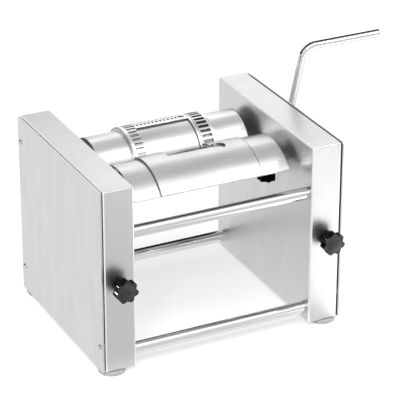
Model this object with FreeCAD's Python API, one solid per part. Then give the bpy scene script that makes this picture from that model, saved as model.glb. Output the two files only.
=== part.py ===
import FreeCAD, Part
import math
import os

# Hand crank tortilla press.
#
# Millimetres. X runs along the rollers (crank at +X), Y from the front (-) to the back (+),
# Z up. The origin lies on the table, midway between the two side housings and midway
# between their front and back faces.

V = FreeCAD.Vector

# --------------------------------------------------------------------------------------
# Driving dimensions
# --------------------------------------------------------------------------------------

# Side housings: a folded tray on the inside, closed by a flat cover on the outside
inner_gap = 257.0            # between the two inner walls
housing_width = 47.0         # inner wall to the outer face of the cover
housing_depth = 271.0        # front to back
housing_height = 260.0
sheet = 1.5                  # wall of the folded trays
fold_radius = 2.5            # outside radius of every fold
return_flange = 12.0         # turned-in edge that the cover is screwed to
cover_sheet = 2.0
cover_gap = 1.6              # dark seam between the tray's edge and the cover
cover_boss_radius = 5.0      # pressed bosses that hold the cover off the tray

# Feet and the cover's screws
foot_height = 6.0
foot_radius = 18.0
foot_inset = 14.5            # foot centre to the front or back face
foot_side_inset = 18.5       # foot centre to the outer face of the cover
foot_chamfer = 1.0
foot_screw_radius = 2.5
screw_edge = 7.0             # cover screw centre to the tray's inside corner, along Y
cover_screw_z = 36.0         # cover screws above the bottom and below the top
screw_radius = 2.0
screw_head_radius = 3.6
screw_head_height = 1.8
driver_slot = 0.9
nut_thickness = 3.0

# Tie rods between the housings
rod_radius = 8.5
rod_inset = 15.5             # rod centre to the front or back face
rod_low = 18.0               # lower rods above the housing's bottom
rod_high = 188.5             # upper rods above the housing's bottom
bolt_radius = 4.0
bolt_depth = 18.0            # thread engaged in the rod's end
bolt_head_radius = 6.5
bolt_head_height = 5.0

# Drum at the back, turned by the crank
drum_radius = 45.0
drum_wall = 3.0
drum_left_gap = 20.5         # drum's left end to the inner wall
drum_right_gap = 12.0
drum_from_back = 76.0        # drum axis to the back face
drum_below_top = 64.0        # drum axis below the top face
drum_cap_thickness = 8.0
drum_cap_flange = 1.5        # rim of each cap that covers the tube's end
shaft_radius = 10.0
journal_clearance = 0.05     # radial, for every shaft that turns in a hole

# Cutter on the drum: a sleeve that carries two toothed rings and two toothed bars
sleeve_thickness = 2.4
cutter_depth = 2.6           # the rings and bars stand this far above the sleeve
cutter_left = 56.3           # left end of the cutter, from the middle
cutter_right = 67.0          # right end
left_flange_width = 5.0
left_teeth_width = 13.6
right_flange_width = 5.0
right_teeth_width = 15.3
right_rail_width = 5.8       # rail between the right ring's teeth and the pocket
rail_groove_inset = 3.2      # groove in that rail, from the pocket
rail_groove_width = 1.3
rail_groove_depth = 1.0
ring_teeth = 42
ring_gap_share = 0.66        # share of the pitch that is gap
ring_gap_angle = 77.0        # middle of one of the gaps, in degrees
bar_count = 2
bar_angle = 94.5             # front of the first bar, from +Y towards +Z, in degrees
bar_rail = 6.5               # angle that each rail of a bar covers
bar_window_span = 6.2        # angle that each row of windows covers
bar_rows = 2
bar_windows = 13
bar_window_width = 3.0
bar_window_pitch = 5.76
bar_window_inset = 0.8       # middle of the first window, from the pocket's left side
cutter_screw_radius = 1.6
cutter_screw_head_radius = 3.2
cutter_screw_head = 1.5
cutter_screw_recess = 4.2    # radius of the recess round the head
cutter_screw_inset = 6.7     # from the pocket's right side

# Gears in the right housing
gear_module = 2.5
drum_gear_teeth = 40
roller_gear_teeth = 18
pressure_angle = 20.0
gear_width = 10.0
flank_relief = 0.15          # taken off every tooth flank, for backlash
gear_hub_radius = 18.0
gear_hub_length = 8.0
web_hole_radius = 8.0
web_holes = 5
web_hole_pitch_radius = 31.0
web_hole_start = 18.0        # angle of the first hole in the web, in degrees
gear_mesh_angle = 180.0      # where the gears meet, seen from the drum, in degrees
key_width = 5.0
key_height = 5.0

# Pressure roller in front of the drum
nip_clearance = 0.5          # cutter to roller with the gap closed
gap_travel = 3.0             # how far the roller backs away from the drum
roller_wall = 4.0
roller_left_gap = 24.0       # roller's left end to the inner wall
roller_right_gap = 15.5
roller_cap_thickness = 8.0
roller_shaft_radius = 9.0
slot_clearance = 2.0         # roller shaft to its slot in the inner wall

# Pressure arms inside the housings
arm_thickness = 8.0
arm_top_radius = 19.0
arm_foot_radius = 14.0
pivot_height = 46.0          # arm pivot above the housing's bottom
pivot_radius = 6.0
pivot_hub_radius = 12.0
pivot_flange_radius = 11.0
pivot_flange = 2.5
bush_wall = 3.0
bush_flange = 1.5
bush_flange_radius = 15.0
ring_width = 1.5             # retaining rings on shafts and pins
ring_wall = 4.0
running_gap = 0.5            # end float beside every arm, bush and collar

# Drum bearings and the crank's bush
bearing_wall = 6.0
bearing_flange = 4.0
bearing_screw_margin = 0.4   # metal beside each screw's head
bearing_screws = 3
crank_bush_wall = 4.0
crank_bush_flange = 2.0
crank_bush_flange_radius = 19.0
crank_bush_length = 9.0
collar_width = 6.0
collar_room = 1.4            # collar to the bearing's screw heads

# Gap spindles, their knobs, nuts and clevises
knob_height = 126.0          # knob axis above the housing's bottom
knob_radius = 16.0
knob_lobes = 7
lobe_share = 0.64            # share of the pitch that is lobe
lobe_root = 0.87             # radius where the lobes start, as a share of the knob's
lobe_valley = 0.81           # radius of the valleys, as a share of the knob's
crown_share = 0.60           # radius of the crown, as a share of the knob's
neck_flare = 1.2             # the neck's top radius over its foot radius
knob_head = 11.0
knob_neck = 11.0
knob_neck_radius = 10.5
knob_crown = 3.0
knob_wall_gap = 3.0          # knob to the housing's front with the gap closed
spindle_radius = 4.0
spindle_journal_radius = 3.0
spindle_collar_radius = 4.2
spindle_collar = 2.0
spindle_hole_clearance = 0.6
nut_width = 13.0             # across flats
nut_height = 8.0
clevis_height = 16.0
clevis_base = 10.0
clevis_ear = 3.5
clevis_pin_radius = 3.0
pin_clearance = 0.3
clevis_room = 8.0            # arm's front edge to the clevis base

# Crank
crank_offset = 21.0          # cover to the plane of the crank's arm
crank_radius = 148.0         # drum axis to the handle's axis
crank_tilt = 18.0            # arm leans forward of upright, in degrees
crank_rod_radius = 5.5
crank_bend_radius = 18.0
crank_handle = 118.0         # arm's plane to the handle's end
crank_rod_tail = 12.0        # rod below the drum axis, through the hub
crank_hub_radius = 15.0
crank_hub_inner = 14.5       # hub from the arm's plane towards the cover
crank_hub_outer = 9.0        # hub from the arm's plane outwards
hub_screw_radius = 3.0
hub_chamfer = 1.5

# Curved guard over the pressure roller: apron, feed plate and their clamp
apron_radius = 66.0          # outside of the apron
apron_sheet = 1.2
apron_left_gap = 19.5        # apron's left end to the inner wall
apron_right_gap = 11.5
apron_ahead = 28.3           # arc centre in front of the roller axis
apron_below = 21.0           # arc centre below the roller axis
apron_rear_angle = 64.0      # from +Y towards +Z, in degrees
apron_front_angle = 142.5
lip_depth = 50.0
cheek_setback = 1.0          # end cheeks end this far behind the lip
cheek_thickness = 3.0
feed_plate_sheet = 2.8
feed_plate_left = 70.5
feed_plate_right = 78.0
notch_left = 35.0
notch_right = 29.0
notch_angle = 89.0           # bottom of the notch
notch_corner = 1.5
bite_radius = 10.0           # round bite at the right end of the notch
bite_x = 39.0
bite_angle = 88.0
support_sheet = 3.0
support_inset = 8.0          # support's front edge behind the lip's front edge
support_reach = 58.5         # support from the wall inwards
support_neck = 18.0          # width of its neck at the wall, along Y
support_neck_reach = 16.0    # length of the neck
support_tab = 13.5           # height of its wall tab
stud_inset = 17.0            # clamp stud behind the lip's front edge
guide_inset = 36.0           # guide stud behind the lip's front edge
slide_gap = 0.3              # guard above its supports, washer below them
guard_shift = 6.0            # how far the guard shifts to each side
stud_radius = 3.0
stud_x = 92.4
stud_slot_clearance = 0.3
stud_length = 13.0
washer_radius = 7.0
washer_thickness = 1.2
clamp_knob_radius = 12.5
clamp_knob_head = 8.0
clamp_knob_neck = 1.5
clamp_knob_neck_radius = 6.0
clamp_knob_crown = 1.0
clamp_knob_end_wall = 1.0    # plastic left under the stud's bore
guide_nut_width = 10.0
guide_nut_height = 5.0
support_screw_spacing = 9.0

# --------------------------------------------------------------------------------------
# Places that follow from them
# --------------------------------------------------------------------------------------

wall_x = inner_gap / 2
inside_x = wall_x + sheet
outer_x = wall_x + housing_width
cover_x = outer_x - cover_sheet
tray_x = cover_x - cover_gap
base_z = foot_height
top_z = base_z + housing_height
back_y = housing_depth / 2
front_y = -back_y

drum_y = back_y - drum_from_back
drum_z = top_z - drum_below_top
drum_left = drum_left_gap - wall_x
drum_right = wall_x - drum_right_gap
sleeve_radius = drum_radius + sleeve_thickness
cutter_radius = sleeve_radius + cutter_depth
axis_distance = gear_module * (drum_gear_teeth + roller_gear_teeth) / 2
roller_y = drum_y - axis_distance
roller_z = drum_z
roller_radius = axis_distance - cutter_radius - nip_clearance
roller_left = roller_left_gap - wall_x
roller_right = wall_x - roller_right_gap
gear_x = inside_x + bearing_flange + running_gap
bearing_screw_room = screw_head_radius + bearing_screw_margin
bearing_pitch_radius = shaft_radius + bearing_wall + bearing_screw_room
bearing_flange_radius = bearing_pitch_radius + bearing_screw_room
collar_radius = bearing_pitch_radius - screw_head_radius - collar_room

knob_x = wall_x + housing_width / 2
knob_z = base_z + knob_height
arm_x0 = knob_x - arm_thickness / 2 - cover_sheet / 2
arm_x1 = arm_x0 + arm_thickness
arm_mid_x = (arm_x0 + arm_x1) / 2
pivot_z = base_z + pivot_height
pivot_y = roller_y
bush_radius = roller_shaft_radius + bush_wall

crank_x = outer_x + crank_offset

apron_y = roller_y - apron_ahead
apron_z = roller_z - apron_below
apron_left = apron_left_gap - wall_x
apron_right = wall_x - apron_right_gap
front_angle = math.radians(apron_front_angle)
lip_y = apron_y + apron_radius * math.cos(front_angle)
lip_top = apron_z + apron_radius * math.sin(front_angle)
lip_bottom = lip_top - apron_sheet
support_top = lip_bottom - slide_gap
support_bottom = support_top - support_sheet
support_y0 = lip_y + support_inset
support_y1 = lip_y + lip_depth
support_neck_y = support_y1 - support_neck
stud_y = lip_y + stud_inset
guide_y = lip_y + guide_inset


# --------------------------------------------------------------------------------------
# Small building blocks
# --------------------------------------------------------------------------------------

def box(x0, x1, y0, y1, z0, z1):
    """A block between two corners."""
    low = V(min(x0, x1), min(y0, y1), min(z0, z1))
    return Part.makeBox(abs(x1 - x0), abs(y1 - y0), abs(z1 - z0), low)


def rod_x(radius, x0, x1, y, z):
    """A round bar along X."""
    return Part.makeCylinder(radius, x1 - x0, V(x0, y, z), V(1, 0, 0))


def rod_y(radius, y0, y1, x, z):
    """A round bar along Y."""
    return Part.makeCylinder(radius, y1 - y0, V(x, y0, z), V(0, 1, 0))


def rod_z(radius, z0, z1, x, y):
    """A round bar along Z."""
    return Part.makeCylinder(radius, z1 - z0, V(x, y, z0), V(0, 0, 1))


def tube_x(outer, inner, x0, x1, y, z):
    """A tube along X."""
    return rod_x(outer, x0, x1, y, z).cut(rod_x(inner, x0 - 1, x1 + 1, y, z))


def polar(radius, degrees, y, z, x=0.0):
    """A point at an angle from +Y towards +Z round an axis along X."""
    angle = math.radians(degrees)
    return V(x, y + radius * math.cos(angle), z + radius * math.sin(angle))


def arc_edge(radius, a0, a1, y, z, x):
    """An arc round an axis along X."""
    ends = [polar(radius, a, y, z, x) for a in (a0, (a0 + a1) / 2, a1)]
    return Part.Arc(*ends).toShape()


def arc_band(inner, outer, a0, a1, y, z, x0, x1):
    """A curved plate between two radii and two angles."""
    edges = [
        arc_edge(outer, a0, a1, y, z, x0),
        Part.makeLine(polar(outer, a1, y, z, x0), polar(inner, a1, y, z, x0)),
        arc_edge(inner, a1, a0, y, z, x0),
        Part.makeLine(polar(inner, a0, y, z, x0), polar(outer, a0, y, z, x0)),
    ]
    return Part.Face(Part.Wire(edges)).extrude(V(x1 - x0, 0, 0))


def turned(profile, base, axis):
    """A turned part: (radius, distance along the axis) pairs, closed along the axis."""
    side = V(0, 0, 1) if abs(axis.z) < 0.5 else V(1, 0, 0)
    points = [base + axis * along + side * radius for radius, along in profile]
    points.append(points[0])
    return Part.Face(Part.makePolygon(points)).revolve(base, axis, 360)


def join(shapes):
    """Shapes of one piece, fused into one solid."""
    first, rest = shapes[0], shapes[1:]
    return first.fuse(rest).removeSplitter() if rest else first


def group(shapes):
    """Separate solids that share a node."""
    return Part.makeCompound(shapes)


def on_side(shape, side):
    """A right-hand piece as it is, or its mirror image for the left."""
    return shape if side > 0 else shape.mirror(V(0, 0, 0), V(1, 0, 0))


def hex_prism(width, height, base, axis):
    """A hexagonal nut blank, standing on base along axis."""
    side = V(0, 0, 1) if abs(axis.z) < 0.5 else V(1, 0, 0)
    corner = side * (width / 2 / math.cos(math.pi / 6))
    spin = FreeCAD.Rotation(axis, 60)
    points = [base + corner]
    for _ in range(6):
        corner = spin.multVec(corner)
        points.append(base + corner)
    return Part.Face(Part.makePolygon(points)).extrude(axis * height)


def around(shape, count, y, z, start=0.0):
    """Copies of a shape spaced evenly round an axis along X."""
    copies = []
    for i in range(count):
        copy = shape.copy()
        copy.rotate(V(0, y, z), V(1, 0, 0), start + 360.0 * i / count)
        copies.append(copy)
    return copies


def slotted_screw(x, y, z, reach):
    """A pan head screw driven towards the middle from the outer face at x."""
    dome = screw_head_height * 0.5
    profile = [
        (0, -reach), (screw_radius, -reach), (screw_radius, 0), (screw_head_radius, 0),
        (screw_head_radius, dome), (screw_head_radius * 0.7, screw_head_height),
        (0, screw_head_height),
    ]
    screw = turned(profile, V(x, y, z), V(1, 0, 0))
    groove = box(x + dome, x + 2 * screw_head_height, y - driver_slot / 2,
                 y + driver_slot / 2, z - screw_head_radius, z + screw_head_radius)
    return screw.cut(groove)


def star(radius, lobes, height, base, axis):
    """A lobed grip: round lobes joined by shallow valleys, standing on base along axis."""
    pitch = 2 * math.pi / lobes
    half = pitch * lobe_share / 2
    side = V(0, 0, 1) if abs(axis.z) < 0.5 else V(1, 0, 0)
    other = axis.cross(side)

    def at(share, angle):
        reach = radius * share
        return base + side * (reach * math.cos(angle)) + other * (reach * math.sin(angle))

    edges = []
    for i in range(lobes):
        middle = pitch * i
        start, end = at(lobe_root, middle - half), at(lobe_root, middle + half)
        following = at(lobe_root, middle + pitch - half)
        edges.append(Part.Arc(start, at(1, middle), end).toShape())
        edges.append(Part.Arc(end, at(lobe_valley, middle + pitch / 2), following).toShape())
    return Part.Face(Part.Wire(edges)).extrude(axis * height)


# --------------------------------------------------------------------------------------
# Side housings, covers, feet and tie rods
# --------------------------------------------------------------------------------------

def rod_places():
    """(y, z) of the four tie rods: front upper, front lower, back upper, back lower."""
    ahead, behind = front_y + rod_inset, back_y - rod_inset
    return {
        "front_upper": (ahead, base_z + rod_high),
        "front_lower": (ahead, base_z + rod_low),
        "back_upper": (behind, base_z + rod_high),
        "back_lower": (behind, base_z + rod_low),
    }


def foot_places():
    """(x, y) of the four feet."""
    x = outer_x - foot_side_inset
    y = back_y - foot_inset
    return [(x, y), (x, -y), (-x, y), (-x, -y)]


def cover_screw_places():
    """(y, z) of one cover's three screws: two at the back, one low at the front."""
    y = back_y - sheet - screw_edge
    low, high = base_z + cover_screw_z, top_z - cover_screw_z
    return [(y, high), (y, low), (-y, low)]


def bearing_screw_places():
    """(y, z) of the screws round a drum bearing."""
    spots = []
    for i in range(bearing_screws):
        spot = polar(bearing_pitch_radius, 90 + 360.0 * i / bearing_screws, drum_y, drum_z)
        spots.append((spot.y, spot.z))
    return spots


def support_screw_places():
    """(y, z) of the two screws that hold an apron support to the wall."""
    y, z = support_y1 - support_neck / 2, support_bottom - support_tab / 2
    return [(y - support_screw_spacing / 2, z), (y + support_screw_spacing / 2, z)]


def tray_holes():
    """Everything that is cut through the right tray's walls."""
    x0, x1 = wall_x - 1, inside_x + 1
    cuts = [rod_x(shaft_radius + bearing_wall, x0, x1, drum_y, drum_z)]
    slot_radius = roller_shaft_radius + slot_clearance
    for y in (roller_y, roller_y - gap_travel):
        cuts.append(rod_x(slot_radius, x0, x1, y, roller_z))
    cuts.append(box(x0, x1, roller_y - gap_travel, roller_y,
                    roller_z - slot_radius, roller_z + slot_radius))
    for y, z in rod_places().values():
        cuts.append(rod_x(bolt_radius, x0, x1, y, z))
    for y, z in bearing_screw_places() + support_screw_places():
        cuts.append(rod_x(screw_radius, x0, x1, y, z))
    for y, z in cover_screw_places():
        cuts.append(rod_x(screw_radius, tray_x - 2 * sheet, tray_x + 1, y, z))
    cuts.append(rod_y(spindle_radius + spindle_hole_clearance, front_y - 1,
                      front_y + sheet + 1, arm_mid_x, knob_z))
    for x, y in foot_places()[:2]:
        cuts.append(rod_z(foot_screw_radius, base_z - 1, base_z + sheet + 1, x, y))
    return cuts


def housing(side):
    """A folded stainless tray: inner wall, top, front, back, bottom and return flange."""
    outside = box(wall_x, tray_x, front_y, back_y, base_z, top_z)
    outside = outside.makeFillet(fold_radius, outside.Edges)
    inside = box(inside_x, tray_x - sheet, front_y + sheet, back_y - sheet,
                 base_z + sheet, top_z - sheet)
    inside = inside.makeFillet(fold_radius - sheet, inside.Edges)
    margin = sheet + return_flange
    mouth = box(tray_x - 2 * sheet, tray_x + 1, front_y + margin, back_y - margin,
                base_z + margin, top_z - margin)
    return on_side(outside.cut([inside, mouth] + tray_holes()), side)


def cover(side):
    """The flat plate that closes a tray, on bosses. The right one has the crank's bush in it."""
    plate = box(cover_x, outer_x, front_y + slide_gap, back_y - slide_gap,
                base_z + slide_gap, top_z - slide_gap)
    upright = [e for e in plate.Edges if abs(e.Vertexes[0].X - e.Vertexes[-1].X) > sheet]
    plate = plate.makeFillet(fold_radius, upright)
    bosses = [rod_x(cover_boss_radius, tray_x, cover_x, y, z) for y, z in cover_screw_places()]
    holes = [rod_x(screw_radius, tray_x - 1, outer_x + 1, y, z) for y, z in cover_screw_places()]
    if side > 0:
        bush = shaft_radius + crank_bush_wall
        holes.append(rod_x(bush, tray_x - 1, outer_x + 1, drum_y, drum_z))
    return on_side(join([plate] + bosses).cut(holes), side)


def cover_screws():
    """Three slotted screws through each cover into its tray's return flange."""
    reach = cover_sheet + cover_gap + 2 * sheet
    screws = [slotted_screw(outer_x, y, z, reach) for y, z in cover_screw_places()]
    return group(screws + [on_side(screw, -1) for screw in screws])


def tie_rod(y, z):
    """A polished round bar between the walls, tapped at both ends."""
    bar = rod_x(rod_radius, -wall_x, wall_x, y, z)
    hole = rod_x(bolt_radius, wall_x - bolt_depth - 2, wall_x + 1, y, z)
    return bar.cut([hole, on_side(hole, -1)])


def tie_rod_bolts():
    """Hexagon head bolts that hold the tie rods from inside the housings."""
    bolts = []
    for y, z in rod_places().values():
        shank = rod_x(bolt_radius, wall_x - bolt_depth, inside_x, y, z)
        head = hex_prism(2 * bolt_head_radius, bolt_head_height, V(inside_x, y, z), V(1, 0, 0))
        bolt = join([shank, head])
        bolts += [bolt, on_side(bolt, -1)]
    return group(bolts)


def feet():
    """Four round feet, each with a counterbore for its screw."""
    shapes = []
    for x, y in foot_places():
        foot = rod_z(foot_radius, 0, foot_height, x, y)
        foot = foot.makeChamfer(foot_chamfer, [foot.Edges[0], foot.Edges[2]])
        bore = rod_z(foot_screw_radius, -1, foot_height + 1, x, y)
        seat = rod_z(2 * foot_screw_radius, -1, foot_height / 2, x, y)
        shapes.append(foot.cut([bore, seat]))
    return group(shapes)


def foot_screws():
    """Screws up through the feet into the trays' bottoms, with nuts inside."""
    screws = []
    for x, y in foot_places():
        nut_z = base_z + sheet
        shank = rod_z(foot_screw_radius, foot_height / 2, nut_z + nut_thickness, x, y)
        head = rod_z(2 * foot_screw_radius - slide_gap, foot_height / 4, foot_height / 2, x, y)
        nut = hex_prism(4 * foot_screw_radius, nut_thickness, V(x, y, nut_z), V(0, 0, 1))
        screws.append(join([shank, head, nut]))
    return group(screws)


# --------------------------------------------------------------------------------------
# Drum, cutter, shaft, drum gear and crank
# --------------------------------------------------------------------------------------

def bar_fronts():
    """Angles of the fronts of the cutter's bars, from +Y towards +Z, in degrees."""
    return [bar_angle + 360.0 * i / bar_count for i in range(bar_count)]


def at_cutter_screws(radius, inner, outer):
    """Round plugs along the radius in each bar's front row of windows, between two radii."""
    x = pocket_right() - cutter_screw_inset
    plugs = []
    for angle in bar_fronts():
        plug = rod_y(radius, drum_y + inner, drum_y + outer, x, drum_z)
        plug.rotate(V(0, drum_y, drum_z), V(1, 0, 0), angle - bar_rail - bar_window_span / 2)
        plugs.append(plug)
    return plugs


def drum_tube():
    """The drum's tube, tapped for the cutter's screws."""
    tube = tube_x(drum_radius, drum_radius - drum_wall, drum_left + drum_cap_flange,
                  drum_right - drum_cap_flange, drum_y, drum_z)
    return tube.cut(at_cutter_screws(cutter_screw_radius, drum_radius - 2 * drum_wall,
                                     drum_radius + 1))


def drum_end_caps():
    """Flanged discs pressed into the drum's ends, bored for the shaft."""
    caps = []
    for end, inwards in ((drum_left, 1), (drum_right, -1)):
        rim, back = end + inwards * drum_cap_flange, end + inwards * drum_cap_thickness
        plug = tube_x(drum_radius - drum_wall, shaft_radius, min(rim, back), max(rim, back),
                      drum_y, drum_z)
        flange = tube_x(drum_radius, shaft_radius, min(end, rim), max(end, rim), drum_y, drum_z)
        caps.append(join([plug, flange]))
    return group(caps)


def drum_shaft():
    """One shaft through the drum, from the left bearing to the crank's hub."""
    left = -(inside_x + bearing_flange + running_gap + collar_width + ring_width)
    shaft = rod_x(shaft_radius, left, crank_x - crank_rod_radius - running_gap, drum_y, drum_z)
    keyway = box(gear_x, gear_x + gear_width, drum_y - key_width / 2, drum_y + key_width / 2,
                 drum_z + shaft_radius - key_height / 2, drum_z + shaft_radius + 1)
    return shaft.cut(keyway)


def drum_key():
    """Square key between the shaft and the drum gear."""
    return box(gear_x, gear_x + gear_width, drum_y - key_width / 2, drum_y + key_width / 2,
               drum_z + shaft_radius - key_height / 2, drum_z + shaft_radius + key_height / 2)


def drum_collar():
    """Set collar on the shaft outside the left bearing."""
    x1 = -(inside_x + bearing_flange + running_gap)
    return tube_x(collar_radius, shaft_radius, x1 - collar_width, x1, drum_y, drum_z)


def involute(base_radius, radius):
    """Angle in radians by which an involute has turned at a radius."""
    ratio = math.sqrt(max((radius / base_radius) ** 2 - 1, 0.0))
    return ratio - math.atan(ratio)


def gear_blank(teeth, x0, y, z, first_tooth):
    """A spur gear with involute flanks. first_tooth is a tooth's angle in degrees."""
    pitch = gear_module * teeth / 2
    tip = pitch + gear_module
    root = pitch - 1.25 * gear_module
    base = pitch * math.cos(math.radians(pressure_angle))
    half_tooth = math.pi / (2 * teeth) - flank_relief / pitch
    at_base = half_tooth + involute(base, pitch)

    def flank(radius, sign, middle):
        turn = at_base - involute(base, radius)
        return polar(radius, math.degrees(middle + sign * turn), y, z, x0)

    low = max(base, root)
    knee = (low + tip) / 2
    step = 2 * math.pi / teeth
    edges = []
    for i in range(teeth):
        middle = math.radians(first_tooth) + step * i
        rising = [flank(r, -1, middle) for r in (low, knee, tip)]
        falling = [flank(r, 1, middle) for r in (tip, knee, low)]
        foot0 = polar(root, math.degrees(middle - at_base), y, z, x0)
        foot1 = polar(root, math.degrees(middle + at_base), y, z, x0)
        if low > root:
            edges.append(Part.makeLine(foot0, rising[0]))
        edges.append(Part.Arc(*rising).toShape())
        edges.append(Part.makeLine(rising[2], falling[0]))
        edges.append(Part.Arc(*falling).toShape())
        if low > root:
            edges.append(Part.makeLine(falling[2], foot1))
        next_foot = polar(root, math.degrees(middle + step - at_base), y, z, x0)
        edges.append(Part.makeLine(foot1 if low > root else falling[2], next_foot))
    return Part.Face(Part.Wire(edges)).extrude(V(gear_width, 0, 0))


def drum_gear():
    """The drum's gear, with a hub, a keyway and round holes in its web."""
    blank = gear_blank(drum_gear_teeth, gear_x, drum_y, drum_z, gear_mesh_angle)
    hub = rod_x(gear_hub_radius, gear_x + gear_width, gear_x + gear_width + gear_hub_length,
                drum_y, drum_z)
    bore = rod_x(shaft_radius, gear_x - 1, gear_x + gear_width + gear_hub_length + 1,
                 drum_y, drum_z)
    hole = rod_x(web_hole_radius, gear_x - 1, gear_x + gear_width + 1,
                 drum_y + web_hole_pitch_radius, drum_z)
    holes = around(hole, web_holes, drum_y, drum_z, web_hole_start)
    return join([blank, hub]).cut([bore, drum_key()] + holes)


def cutter_sleeve():
    """Thin sleeve on the drum that carries the cutter's rings and bars."""
    sleeve = tube_x(sleeve_radius, drum_radius, -cutter_left, cutter_right, drum_y, drum_z)
    return sleeve.cut(at_cutter_screws(cutter_screw_radius, drum_radius - 1, sleeve_radius + 1))


def ring_windows(x0, x1):
    """The gaps between a ring's teeth."""
    pitch = 2 * math.pi * cutter_radius / ring_teeth
    half = pitch * ring_gap_share / 2
    gap = box(x0, x1, drum_y + sleeve_radius - 1, drum_y + cutter_radius + 1,
              drum_z - half, drum_z + half)
    return around(gap, ring_teeth, drum_y, drum_z, ring_gap_angle)


def pocket_left():
    """Left side of the cutter's pocket."""
    return -cutter_left + left_flange_width + left_teeth_width


def pocket_right():
    """Right side of the cutter's pocket."""
    return cutter_right - right_flange_width - right_teeth_width - right_rail_width


def left_cutter_ring():
    """Thin rim with a comb of teeth that point at the pocket."""
    ring = tube_x(cutter_radius, sleeve_radius, -cutter_left, pocket_left(), drum_y, drum_z)
    return ring.cut(ring_windows(-cutter_left + left_flange_width, pocket_left() + 1))


def right_cutter_ring():
    """Thin flange, a ladder of teeth, and a grooved rail beside the pocket."""
    ring = tube_x(cutter_radius, sleeve_radius, pocket_right(), cutter_right, drum_y, drum_z)
    x0 = pocket_right() + right_rail_width
    windows = ring_windows(x0, x0 + right_teeth_width)
    groove_x = pocket_right() + rail_groove_inset
    groove = tube_x(cutter_radius + 1, cutter_radius - rail_groove_depth, groove_x,
                    groove_x + rail_groove_width, drum_y, drum_z)
    return ring.cut(windows + [groove])


def cutter_screws():
    """Cheese head screws that hold the cutter to the drum, sunk in its bars."""
    shanks = at_cutter_screws(cutter_screw_radius, drum_radius - drum_wall, sleeve_radius)
    heads = at_cutter_screws(cutter_screw_head_radius, sleeve_radius,
                             sleeve_radius + cutter_screw_head)
    return group([join([shank, head]) for shank, head in zip(shanks, heads)])


def cutter_bar(front):
    """A bar across the pocket, with rows of windows between its rails."""
    span = bar_rows * (bar_rail + bar_window_span) + bar_rail
    bar = arc_band(sleeve_radius, cutter_radius, front - span, front, drum_y, drum_z,
                   pocket_left(), pocket_right())
    screw_x = pocket_right() - cutter_screw_inset
    cuts = at_cutter_screws(cutter_screw_recess, sleeve_radius - 1, cutter_radius + 1)
    for row in range(bar_rows):
        end = front - bar_rail - row * (bar_rail + bar_window_span)
        for i in range(bar_windows):
            x = pocket_left() + bar_window_inset + bar_window_pitch * i
            if row == 0 and abs(x - screw_x) < cutter_screw_recess + bar_window_width:
                continue
            cuts.append(arc_band(sleeve_radius - 1, cutter_radius + 1, end - bar_window_span, end,
                                 drum_y, drum_z, x - bar_window_width / 2,
                                 x + bar_window_width / 2))
    return bar.cut(cuts)


def cutter_bars():
    """The bars that part one pocket from the next."""
    return group([cutter_bar(angle) for angle in bar_fronts()])


def crank_hub():
    """Boss on the end of the shaft, cross-bored for the crank's rod."""
    x0, x1 = crank_x - crank_hub_inner, crank_x + crank_hub_outer
    profile = [
        (0, x0), (crank_hub_radius - hub_chamfer, x0), (crank_hub_radius, x0 + hub_chamfer),
        (crank_hub_radius, x1 - hub_chamfer), (crank_hub_radius - hub_chamfer, x1), (0, x1),
    ]
    hub = turned(profile, V(0, drum_y, drum_z), V(1, 0, 0))
    bore = rod_x(shaft_radius, x0 - 1, crank_x - crank_rod_radius - running_gap, drum_y, drum_z)
    cross = rod_z(crank_rod_radius, drum_z - 2 * crank_hub_radius, drum_z + 2 * crank_hub_radius,
                  crank_x, drum_y)
    cross.rotate(V(0, drum_y, drum_z), V(1, 0, 0), crank_tilt)
    screw = rod_x(hub_screw_radius, crank_x, x1 + 1, drum_y, drum_z)
    return hub.cut([bore, cross, screw])


def crank_rod():
    """Crank bent from one round rod: arm, bend and handle."""
    tail = V(crank_x, drum_y, drum_z - crank_rod_tail)
    bend_z = drum_z + crank_radius - crank_bend_radius
    start = V(crank_x, drum_y, bend_z)
    share = crank_bend_radius * math.sqrt(0.5)
    middle = V(crank_x + crank_bend_radius - share, drum_y, bend_z + share)
    end = V(crank_x + crank_bend_radius, drum_y, bend_z + crank_bend_radius)
    tip = V(crank_x + crank_handle, drum_y, end.z)
    path = Part.Wire([
        Part.makeLine(tail, start), Part.Arc(start, middle, end).toShape(), Part.makeLine(end, tip),
    ])
    section = Part.Wire(Part.makeCircle(crank_rod_radius, tail, V(0, 0, 1)))
    rod = path.makePipeShell([section], True, True)
    rims = [e for e in rod.Edges if abs(e.Vertexes[0].X - tip.x) < 0.01
            and abs(e.Vertexes[-1].X - tip.x) < 0.01]
    rod = rod.makeChamfer(crank_rod_radius / 5, rims)
    rod.rotate(V(0, drum_y, drum_z), V(1, 0, 0), crank_tilt)
    return rod


def crank_screw():
    """Set screw in the hub's end that locks the rod."""
    x0, x1 = crank_x + crank_rod_radius, crank_x + crank_hub_outer
    return rod_x(hub_screw_radius, x0, x1, drum_y, drum_z)


# --------------------------------------------------------------------------------------
# Bearings, bushes and pivots
# --------------------------------------------------------------------------------------

def drum_bearing(side):
    """Flanged bronze bearing in the inner wall."""
    bore = shaft_radius + journal_clearance
    barrel = tube_x(shaft_radius + bearing_wall, bore, wall_x, inside_x, drum_y, drum_z)
    flange = tube_x(bearing_flange_radius, bore, inside_x, inside_x + bearing_flange,
                    drum_y, drum_z)
    face = inside_x + bearing_flange
    holes = []
    for y, z in bearing_screw_places():
        holes.append(rod_x(screw_radius, inside_x - 1, face + 1, y, z))
        holes.append(rod_x(screw_head_radius, face - screw_head_height, face + 1, y, z))
    return on_side(join([barrel, flange]).cut(holes), side)


def wall_screw(y, z, x0, x1):
    """A round head screw along X from x0 (tip) to x1 (under its head)."""
    shank = rod_x(screw_radius, x0, x1, y, z)
    head = rod_x(screw_head_radius, x1, x1 + screw_head_height, y, z)
    return join([shank, head])


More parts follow.
